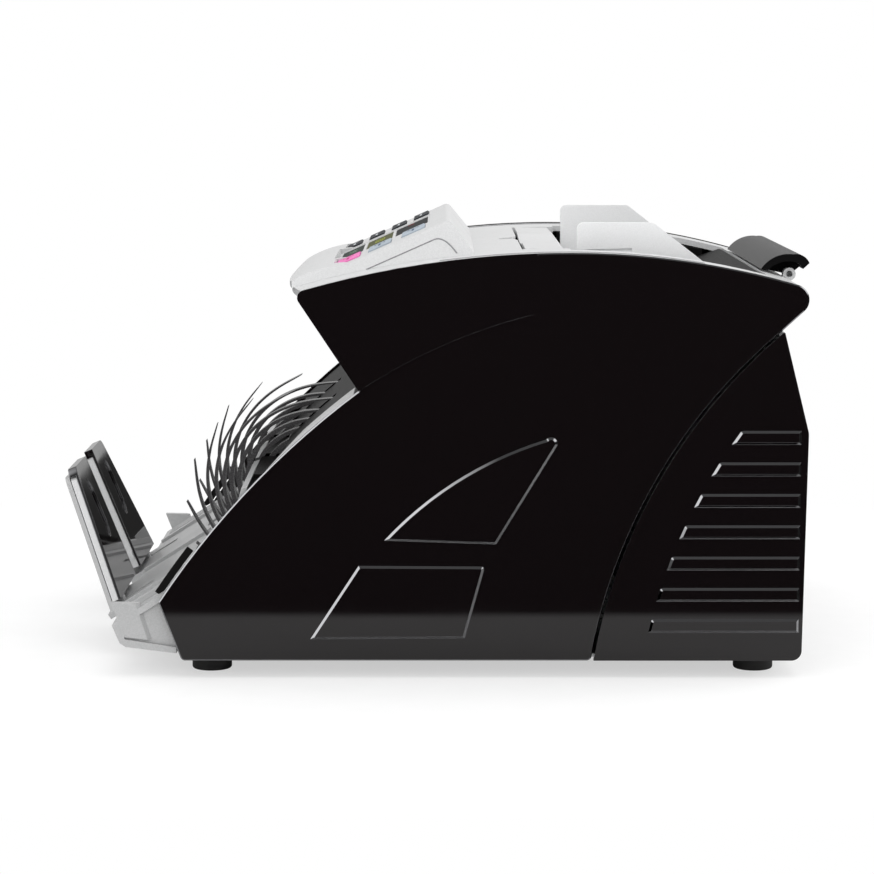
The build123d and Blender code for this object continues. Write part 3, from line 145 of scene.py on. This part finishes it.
def add_world():
    """White to the eye, even for soft light. Reflections see panels overhead, beyond, in front and behind."""
    world = bpy.data.worlds.new("studio")
    bpy.context.scene.world = world
    world.use_nodes = True
    tree = world.node_tree
    tree.nodes.clear()
    n = Nodes(tree)
    path = n.add("ShaderNodeLightPath")
    direction = n.add("ShaderNodeTexCoord").outputs["Generated"]
    xyz = n.add("ShaderNodeSeparateXYZ", {0: direction})
    x, y, z = xyz.outputs["X"], xyz.outputs["Y"], xyz.outputs["Z"]
    overhead = n.fit(z, 0.30, 0.75, 0.0, OVERHEAD_GLOW)
    beyond = n.fit(n.math("MULTIPLY", x, -1.0), 0.3, 0.9, 0.0, SIDE_GLOW)
    forward = n.fit(n.math("MULTIPLY", y, -1.0), 0.45, 0.7, 0.0, FRONT_GLOW)
    backward = n.fit(y, 0.45, 0.7, 0.0, REAR_GLOW)
    raised = n.math("MULTIPLY", n.math("ADD", forward, backward), n.fit(z, 0.2, 0.35))
    glow = n.math("ADD", n.math("ADD", overhead, beyond), raised)
    seen = n.mix(path.outputs["Is Glossy Ray"], (EVEN_LIGHT, EVEN_LIGHT, EVEN_LIGHT, 1.0), glow)
    seen = n.mix(path.outputs["Is Camera Ray"], seen, (1.0, 1.0, 1.0, 1.0))
    background = n.add("ShaderNodeBackground", {"Color": seen})
    output = n.add("ShaderNodeOutputWorld")
    tree.links.new(background.outputs[0], output.inputs["Surface"])


def add_area_light(name, spot, size, watts):
    """Rectangular soft light that aims at the machine."""
    data = bpy.data.lights.new(name, "AREA")
    data.shape = "RECTANGLE"
    data.size, data.size_y = size
    data.energy = watts
    light = bpy.data.objects.new(name, data)
    bpy.context.scene.collection.objects.link(light)
    light.location = spot
    light.rotation_euler = (Vector(LIGHT_TARGET) - Vector(spot)).to_track_quat("-Z", "Y").to_euler()
    light.visible_glossy = False


def floor_material():
    """Pale floor that fades to white away from the machine. In reflections it is bright only close to it."""
    material = bpy.data.materials.new("floor")
    material.use_nodes = True
    tree = material.node_tree
    n = Nodes(tree)
    shader = tree.nodes["Principled BSDF"]
    point = n.add("ShaderNodeNewGeometry").outputs["Position"]
    xyz = n.add("ShaderNodeSeparateXYZ", {0: point})
    beside = n.math("SUBTRACT", n.math("ABSOLUTE", xyz.outputs["X"]), cad_high.x)
    behind = n.math("SUBTRACT", n.math("ABSOLUTE", xyz.outputs["Y"]), cad_high.y)
    reach = n.math("MAXIMUM", beside, behind)
    near = n.fit(reach, GLOW_NEAR, GLOW_FAR, FLOOR_GLOW, 0.0)
    grain = n.add("ShaderNodeTexNoise", {"Vector": point, "Scale": 60.0, "Detail": 4.0}).outputs["Fac"]
    pale = n.fit(grain, 0.3, 0.7, 0.88, 0.91)
    path = n.add("ShaderNodeLightPath")
    seen = n.math("MULTIPLY", pale, n.mix(path.outputs["Is Glossy Ray"], (1.0, 1.0, 1.0, 1.0), near))
    tree.links.new(seen, shader.inputs["Base Color"])
    shader.inputs["Roughness"].default_value = 0.8
    shader.inputs["Specular IOR Level"].default_value = 0.1
    white = n.add("ShaderNodeEmission", {"Color": (1.0, 1.0, 1.0, 1.0)})
    fade = n.math("MULTIPLY", n.fit(reach, FADE_NEAR, FADE_FAR, 0.55, 1.0), path.outputs["Is Camera Ray"])
    both = n.add("ShaderNodeMixShader", {0: fade, 1: shader.outputs[0], 2: white.outputs[0]})
    tree.links.new(both.outputs[0], tree.nodes["Material Output"].inputs["Surface"])
    return material


def add_floor():
    """Large round floor under the feet."""
    mesh = bpy.data.meshes.new("floor")
    bm = bmesh.new()
    bmesh.ops.create_circle(bm, cap_ends=True, segments=96, radius=FLOOR_RADIUS)
    bm.to_mesh(mesh)
    bm.free()
    mesh.materials.append(floor_material())
    floor = bpy.data.objects.new("floor", mesh)
    bpy.context.scene.collection.objects.link(floor)


# ---------------------------------------------------------------- materials

def new_material(name, color, roughness, **sockets):
    """Material with its node helper and its shader."""
    material = bpy.data.materials.new(name)
    material.use_nodes = True
    shader = material.node_tree.nodes["Principled BSDF"]
    shader.inputs["Base Color"].default_value = (*color, 1.0)
    shader.inputs["Roughness"].default_value = roughness
    for socket, value in sockets.items():
        shader.inputs[socket.replace("_", " ")].default_value = value
    return material, Nodes(material.node_tree), shader


def add_bump(n, shader, height, depth, strength=1.0):
    """Fine relief of the surface, depth in metres."""
    bump = n.add("ShaderNodeBump", {"Height": height, "Distance": depth, "Strength": strength})
    n.tree.links.new(bump.outputs[0], shader.inputs["Normal"])


def place(n):
    """Position on the object."""
    return n.add("ShaderNodeTexCoord").outputs["Object"]


def noise(n, scale, detail=3.0, vector=None):
    """Noise value of about 0 to 1 over the object."""
    inputs = {"Vector": vector or place(n), "Scale": scale, "Detail": detail}
    return n.add("ShaderNodeTexNoise", inputs).outputs["Fac"]


def gloss_black():
    """Piano black moulding: a faint ripple in the lacquer and thin hazy wipe marks, with a painted highlight on
    the rounded edges.
    """
    material, n, shader = new_material("gloss_black", (0.0042, 0.0030, 0.0033), 0.04)
    haze = n.fit(noise(n, 18.0, 5.0), 0.35, 0.75, 0.02, 0.07)
    normal = n.add("ShaderNodeTexCoord").outputs["Normal"]
    sideways = n.math("ABSOLUTE", n.add("ShaderNodeSeparateXYZ", {0: normal}).outputs["X"])
    # Painted highlight: where the surface turns between the side and the top or front, the black turns grey and
    # metallic so that the rounded edges show as bright lines.
    painted_edge_sheen = n.math("MULTIPLY", n.fit(sideways, 0.985, 0.93), n.fit(sideways, 0.3, 0.5))
    tone = n.mix(painted_edge_sheen, (0.0042, 0.0030, 0.0033, 1.0), (0.3, 0.3, 0.31, 1.0))
    n.tree.links.new(tone, shader.inputs["Base Color"])
    n.tree.links.new(painted_edge_sheen, shader.inputs["Metallic"])
    n.tree.links.new(haze, shader.inputs["Roughness"])
    add_bump(n, shader, noise(n, 40.0, 2.0), 0.00002, 0.2)
    return material


def silver_plastic(name="silver_plastic", low=0.58, high=0.65):
    """Silver paint on plastic: fine metal flake over a satin base."""
    material, n, shader = new_material(name, (low, low, low), 0.34, Metallic=0.1, Coat_Weight=0.2,
                                       Coat_Roughness=0.2)
    flake = n.add("ShaderNodeTexVoronoi", {"Vector": place(n), "Scale": 2600.0})
    spark = n.add("ShaderNodeSeparateColor", {0: flake.outputs["Color"]}).outputs[0]
    dull = (low, low * 1.005, low * 1.01, 1.0)
    bright = (high, high * 1.005, high * 1.01, 1.0)
    n.tree.links.new(n.mix(n.fit(spark, 0.0, 1.0), dull, bright), shader.inputs["Base Color"])
    n.tree.links.new(n.fit(noise(n, 30.0), 0.3, 0.7, 0.28, 0.4), shader.inputs["Roughness"])
    add_bump(n, shader, spark, 0.000002, 0.3)
    return material


def dark_plastic(name="dark_plastic", color=(0.03, 0.03, 0.032), roughness=0.34, specular=0.5):
    """Dark moulding with a fine spark-eroded grain."""
    material, n, shader = new_material(name, color, roughness)
    shader.inputs["Specular IOR Level"].default_value = specular
    grain = noise(n, 1500.0, 4.0)
    tone = n.fit(noise(n, 40.0), 0.3, 0.7, 0.8, 1.2)
    shade = n.mix(tone, (0.0, 0.0, 0.0, 1.0), (*color, 1.0))
    n.tree.links.new(shade, shader.inputs["Base Color"])
    n.tree.links.new(n.fit(grain, 0.3, 0.7, roughness - 0.06, roughness + 0.1), shader.inputs["Roughness"])
    add_bump(n, shader, grain, 0.00002, 0.4)
    return material


def rubber():
    """Matt black rubber with a worn, uneven tone."""
    material, n, shader = new_material("rubber", (0.016, 0.016, 0.016), 0.75)
    worn = n.fit(noise(n, 220.0, 5.0), 0.3, 0.7)
    tone = n.mix(worn, (0.012, 0.012, 0.012, 1.0), (0.028, 0.027, 0.026, 1.0))
    n.tree.links.new(tone, shader.inputs["Base Color"])
    n.tree.links.new(n.fit(worn, 0.0, 1.0, 0.65, 0.85), shader.inputs["Roughness"])
    add_bump(n, shader, noise(n, 900.0, 4.0), 0.00005, 0.6)
    return material


def steel():
    """Zinc plated steel, brushed along its length."""
    material, n, shader = new_material("steel", (0.55, 0.56, 0.57), 0.3, Metallic=1.0)
    stretched = n.add("ShaderNodeMapping", {"Vector": place(n), "Scale": (1.0, 1.0, 30.0)}).outputs[0]
    lines = noise(n, 90.0, 5.0, stretched)
    tone = n.mix(lines, (0.42, 0.43, 0.45, 1.0), (0.66, 0.66, 0.65, 1.0))
    n.tree.links.new(tone, shader.inputs["Base Color"])
    n.tree.links.new(n.fit(lines, 0.3, 0.7, 0.22, 0.42), shader.inputs["Roughness"])
    add_bump(n, shader, lines, 0.00001, 0.4)
    return material


def circuit_board():
    """Green solder mask with a pattern of tracks."""
    material, n, shader = new_material("circuit_board", (0.02, 0.16, 0.06), 0.35)
    tracks = n.add("ShaderNodeTexBrick", {"Vector": place(n), "Color1": (0.02, 0.15, 0.06, 1.0),
                                          "Color2": (0.03, 0.2, 0.08, 1.0), "Mortar": (0.3, 0.33, 0.12, 1.0),
                                          "Scale": 90.0, "Mortar Size": 0.03})
    n.tree.links.new(tracks.outputs["Color"], shader.inputs["Base Color"])
    return material


# Where the second and third window start, in millimetres up the slope from the first one's front edge
SECOND_WINDOW, THIRD_WINDOW = 11.3, 24.9


def slope_place(n):
    """Distance up the console's slope in millimetres, from the lowest point of the windows."""
    vector = n.add("ShaderNodeVectorMath", {0: place(n), 1: SLOPE_UP}, operation="DOT_PRODUCT")
    start = slope_range("display_windows")[0]
    return n.math("MULTIPLY", n.math("SUBTRACT", vector.outputs["Value"], start), 1.0 / MM)


def display_glass():
    """Tinted windows: grey-green at the front, olive in the middle, near black at the back."""
    material, n, shader = new_material("display_glass", (0.02, 0.03, 0.025), 0.5)
    shader.inputs["Specular IOR Level"].default_value = 0.04
    up = slope_place(n)
    olive = n.math("GREATER_THAN", up, SECOND_WINDOW)
    dark = n.math("GREATER_THAN", up, THIRD_WINDOW)
    film = n.fit(noise(n, 300.0, 4.0), 0.35, 0.7)
    tone = n.mix(film, (0.012, 0.018, 0.015, 1.0), (0.04, 0.055, 0.045, 1.0))
    tone = n.mix(olive, tone, (0.075, 0.08, 0.025, 1.0))
    tone = n.mix(dark, tone, (0.01, 0.011, 0.012, 1.0))
    n.tree.links.new(tone, shader.inputs["Base Color"])
    return material


def key_plastic(name, color):
    """Moulded key cap with a fine grain, matt so that it keeps its colour at a flat angle."""
    material, n, shader = new_material(name, color, 0.55)
    shader.inputs["Specular IOR Level"].default_value = 0.1
    low = tuple(0.8 * c for c in color)
    tone = n.mix(n.fit(noise(n, 120.0), 0.3, 0.7), (*low, 1.0), (*color, 1.0))
    n.tree.links.new(tone, shader.inputs["Base Color"])
    add_bump(n, shader, noise(n, 1200.0), 0.00001, 0.3)
    return material


def ink(name, color, glow=0.0):
    """Printed ink with slightly uneven cover, or a lit mark when glow is over zero."""
    material, n, shader = new_material(name, color, 0.6, Emission_Color=(*color, 1.0), Emission_Strength=glow)
    shader.inputs["Specular IOR Level"].default_value = 0.1
    low = tuple(0.75 * c for c in color)
    tone = n.mix(n.fit(noise(n, 900.0), 0.3, 0.7), (*low, 1.0), (*color, 1.0))
    n.tree.links.new(tone, shader.inputs["Base Color"])
    return material


def slope_range(name):
    """Lowest and highest place of a node up the console's slope, and its top along the slope's normal."""
    points = [vertex.co for vertex in nodes[name].data.vertices]
    up = [point.dot(SLOPE_UP) for point in points]
    return min(up), max(up), max(point.dot(SLOPE_NORMAL) for point in points)


MATERIALS = {
    "gloss_black": gloss_black(),
    "silver_plastic": silver_plastic(),
    "dark_plastic": dark_plastic(),
    "wheel": dark_plastic("wheel_plastic", (0.06, 0.058, 0.06), 0.25),
    "inside_black": dark_plastic("inside_black", (0.006, 0.0055, 0.0055), 0.5, 0.12),
    "handle": dark_plastic("handle_plastic", (0.005, 0.0048, 0.005), 0.3, 0.1),
    "guide": silver_plastic("guide_plastic", 0.92, 0.97),
    "tray": silver_plastic("tray_silver", 0.4, 0.46),
    "rubber": rubber(),
    "steel": steel(),
    "display_glass": display_glass(),
    "circuit_board": circuit_board(),
    "key_pink": key_plastic("key_pink", (0.82, 0.2, 0.5)),
    "key_pale": key_plastic("key_pale", (0.4, 0.46, 0.52)),
    "key_dark": key_plastic("key_dark", (0.03, 0.033, 0.038)),
    "switch_red": key_plastic("switch_red", (0.45, 0.02, 0.02)),
}

# Nodes whose look isn't that of their material slot
SPECIAL = {"right_stacker_wheel": "wheel", "left_stacker_wheel": "wheel", "hopper_floor": "inside_black",
           "gap_knob": "inside_black", "exit_plate": "inside_black", "drive_guards": "inside_black",
           "stacker_tray": "tray",
           "right_note_guide": "guide", "left_note_guide": "guide", "sensor_set": "inside_black",
           "front_panel": "inside_black", "handle_grip": "handle"}

# Width of the rounded edges in millimetres: the usual one, and those that differ
EDGE = 0.25
EDGES = {"right_side_cover": 0.7, "left_side_cover": 0.7, "rear_cover": 0.6, "top_cover": 0.5,
         "front_panel": 0.5, "front_cheek": 0.5, "handle_grip": 0.6, "console_housing": 0.4,
         "rubber_feet": 0.8}


def finish_node(name, slot):
    """Material and softly rounded edges for a CAD node."""
    thing = nodes[name]
    thing.data.materials.clear()
    thing.data.materials.append(MATERIALS[SPECIAL.get(name, slot)])
    weld = thing.modifiers.new("weld", "WELD")
    weld.merge_threshold = 0.000002
    flat = thing.modifiers.new("flat", "DECIMATE")
    flat.decimate_type = "DISSOLVE"
    flat.angle_limit = math.radians(0.3)
    bevel = thing.modifiers.new("edge", "BEVEL")
    bevel.width = EDGES.get(name, EDGE) * MM
    bevel.segments = 3
    bevel.limit_method = "ANGLE"
    bevel.angle_limit = math.radians(28.0)
    bevel.harden_normals = True
    weighted = thing.modifiers.new("normals", "WEIGHTED_NORMAL")
    weighted.weight = 100
    weighted.keep_sharp = True
    for polygon in thing.data.polygons:
        polygon.use_smooth = True


# ---------------------------------------------------------------- printed and lit marks

# Which of the seven strokes each digit uses:
# top, upper left, upper right, middle, lower left, lower right, bottom
STROKES = {"0": "1110111", "1": "0010010", "2": "1011101", "3": "1011011", "4": "0111010", "5": "1101011",
           "6": "1101111", "7": "1010010"}

# Printed marks: their gap to the surface, their thickness, and a digit's width as a share of its height
DIGIT_LIFT, INK_THICK, DIGIT_WIDTH = 0.03 * MM, 0.03 * MM, 0.55

# Legend of a key, measured from the middle of its cap
LEGEND_HEIGHT, LEGEND_STROKE, LEGEND_LEFT = 0.5, 0.8 * MM, 7.5 * MM
DASH_LEFT, DASH_RIGHT, DASH_HALF = 2.0 * MM, 8.0 * MM, 0.5 * MM

# Rows of lit digits: name, colour and glow of the ink, distance up the windows, height of a digit, the text, and
# distance of the first digit from the windows' left end, in millimetres
DISPLAY_ROWS = (("lit_green", (0.2, 0.3, 0.22), 0.05, 3.4, 3.6, "00000", 14.0),
                ("lit_amber", (0.4, 0.44, 0.1), 0.1, 15.6, 4.6, "00000", 14.0),
                ("lit_red", (0.5, 0.02, 0.03), 0.2, 31.0, 3.0, "0", 8.0))
DISPLAY_STROKE, DISPLAY_PITCH = 0.45, 0.9

# Seams of the silver top, drawn as grey lines of painted shade along the parting grooves: thickness, distance
# inside the console's edge, and distance from the deck's side
SEAM_THICK, SEAM_INSET, SEAM_FROM_SIDE = 0.6 * MM, 4.2 * MM, 9.0 * MM
# The console's edge: length along the slope, then how far its back runs and drops to the deck
RIDGE_LENGTH, BACK_RUN, BACK_DROP = 46.0 * MM, 9.9 * MM, 12.7 * MM
# Points of a seam, of its bend and of its end, and where the deck's seam starts and how far it goes
SEAM_STEPS, BEND_STEPS, END_STEPS = 24, 8, 5
DECK_START, DECK_REACH = 0.3, 0.5


def stroke_boxes(digit, x, up, width, height, thick):
    """Boxes (x0, x1, up0, up1) of a seven-stroke digit whose lower left corner is at x, up."""
    middle, half = height / 2, thick / 2
    bars = ((x, x + width, up + height - thick, up + height), (x, x + thick, up + middle, up + height),
            (x + width - thick, x + width, up + middle, up + height),
            (x, x + width, up + middle - half, up + middle + half), (x, x + thick, up, up + middle),
            (x + width - thick, x + width, up, up + middle), (x, x + width, up, up + thick))
    return [bar for bar, used in zip(bars, STROKES[digit]) if used == "1"]


def slope_marks(name, bars, top, material, body):
    """Thin raised bars on the console's slope, as one piece that rides on a body."""
    mesh = bpy.data.meshes.new(name)
    bm = bmesh.new()
    for x0, x1, up0, up1 in bars:
        corners = []
        for height in (top + DIGIT_LIFT, top + DIGIT_LIFT + INK_THICK):
            for x, up in ((x0, up0), (x1, up0), (x1, up1), (x0, up1)):
                corners.append(bm.verts.new(Vector((x, 0.0, 0.0)) + SLOPE_UP * up + SLOPE_NORMAL * height))
        bm.faces.new(corners[3::-1])
        bm.faces.new(corners[4:])
        for i in range(4):
            j = (i + 1) % 4
            bm.faces.new((corners[i], corners[j], corners[j + 4], corners[i + 4]))
    bm.to_mesh(mesh)
    bm.free()
    mesh.materials.append(material)
    piece = bpy.data.objects.new(name, mesh)
    bpy.context.scene.collection.objects.link(piece)
    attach(piece, body)


def key_legends():
    """A digit and a short line on every key."""
    blue = ink("ink_blue", (0.06, 0.11, 0.2))
    pale = ink("ink_pale", (0.6, 0.62, 0.64))
    rose = ink("ink_rose", (0.5, 0.03, 0.18))
    for i in range(1, 8):
        name = "key_%d" % i
        low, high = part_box(name)
        up0, up1, top = slope_range(name)
        height = LEGEND_HEIGHT * (up1 - up0)
        middle_x, middle_up = (low.x + high.x) / 2, (up0 + up1) / 2
        corner = (middle_x - LEGEND_LEFT, middle_up - height / 2)
        bars = stroke_boxes(str(i), *corner, DIGIT_WIDTH * height, height, LEGEND_STROKE)
        dash = (middle_x - DASH_LEFT, middle_x + DASH_RIGHT, middle_up - DASH_HALF, middle_up + DASH_HALF)
        bars.append(dash)
        material = rose if i == 1 else blue if i < 4 else pale
        slope_marks("legend_%d" % i, bars, top, material, "button_%d" % i)


def seam(name, points, thick, material):
    """A fine rounded line along points on the chassis."""
    curve = bpy.data.curves.new(name, "CURVE")
    curve.dimensions = "3D"
    curve.bevel_depth = thick / 2
    curve.bevel_resolution = 2
    spline = curve.splines.new("POLY")
    spline.points.add(len(points) - 1)
    for target, point in zip(spline.points, points):
        target.co = (*point, 1.0)
    curve.materials.append(material)
    piece = bpy.data.objects.new(name, curve)
    bpy.context.scene.collection.objects.link(piece)
    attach(piece, "chassis")


def trace(name, starts, direction):
    """Where rays from the start points first meet a node, left out where they miss it."""
    mesh = nodes[name].data
    tree = BVHTree.FromPolygons([v.co for v in mesh.vertices], [list(p.vertices) for p in mesh.polygons])
    hits = [tree.ray_cast(start, direction)[0] for start in starts]
    return [hit for hit in hits if hit]


def ridge_route(x):
    """Line just inside the edge of the console's side: up the slope, round its rear corner, down the back."""
    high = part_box("console_housing")[1]
    corner = Vector((x, high.y - BACK_RUN, high.z))
    down = Vector((0.0, BACK_RUN, -BACK_DROP)).normalized()
    start = corner - SLOPE_UP * RIDGE_LENGTH - SLOPE_NORMAL * SEAM_INSET
    bend = corner - SLOPE_UP * 2.0 * SEAM_INSET - SLOPE_NORMAL * SEAM_INSET
    turn = corner - SLOPE_UP * SEAM_INSET - SLOPE_NORMAL * SEAM_INSET
    after = turn + down * 2.0 * SEAM_INSET
    points = [start.lerp(bend, i / SEAM_STEPS) for i in range(SEAM_STEPS)]
    for i in range(BEND_STEPS):
        t = i / BEND_STEPS
        points.append(bend.lerp(turn, t).lerp(turn.lerp(after, t), t))
    return points + [after + down * SEAM_INSET * i / 2 for i in range(END_STEPS)]


def deck_route(side):
    """Points over the deck near one of its sides."""
    low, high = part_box("top_cover")
    x = side * (high.x - SEAM_FROM_SIDE)
    length = high.y - low.y
    depths = [low.y + length * (DECK_START + DECK_REACH * i / SEAM_STEPS) for i in range(SEAM_STEPS + 1)]
    return [Vector((x, y, 2.0 * high.z)) for y in depths]


def top_seams():
    """Seams of the silver top: inside the edge of the console's flared sides, and along the deck's sides. Their
    grey is painted shade of the parting grooves.
    """
    # Painted shade: the grey lines stand in for the shade in the parting grooves of the silver top.
    grey = ink("seam_painted_shade", (0.3, 0.3, 0.31))
    beside = 2.0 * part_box("top_cover")[1].x
    for side, word in ((-1.0, "left"), (1.0, "right")):
        ridge = trace("console_housing", ridge_route(side * beside), Vector((-side, 0.0, 0.0)))
        seam("ridge_seam_shade_" + word, ridge, SEAM_THICK, grey)
        deck = trace("top_cover", deck_route(side), Vector((0.0, 0.0, -1.0)))
        seam("deck_seam_shade_" + word, deck, SEAM_THICK, grey)


def display_digits():
    """Lit digits in the windows."""
    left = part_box("display_windows")[0].x
    start, _, top = slope_range("display_windows")
    inks = [ink(name, color, glow) for name, color, glow, *_ in DISPLAY_ROWS]
    for row, (*_, offset, height, text, first) in enumerate(DISPLAY_ROWS):
        bars = []
        for column, digit in enumerate(text):
            corner = (left + (first + column * height * DISPLAY_PITCH) * MM, start + offset * MM)
            bars += stroke_boxes(digit, *corner, DIGIT_WIDTH * height * MM, height * MM, DISPLAY_STROKE * MM)
        slope_marks("display_row_%d" % (row + 1), bars, top, inks[row], "chassis")


add_camera()
add_world()
add_floor()
for name, (spot, size, watts) in LIGHTS.items():
    add_area_light(name, spot, size, watts)
bpy.context.scene.view_settings.view_transform = "Standard"

for part in frame["record"]["subparts"]:
    finish_node(part["node"], part["material_slot"])
key_legends()
display_digits()
top_seams()
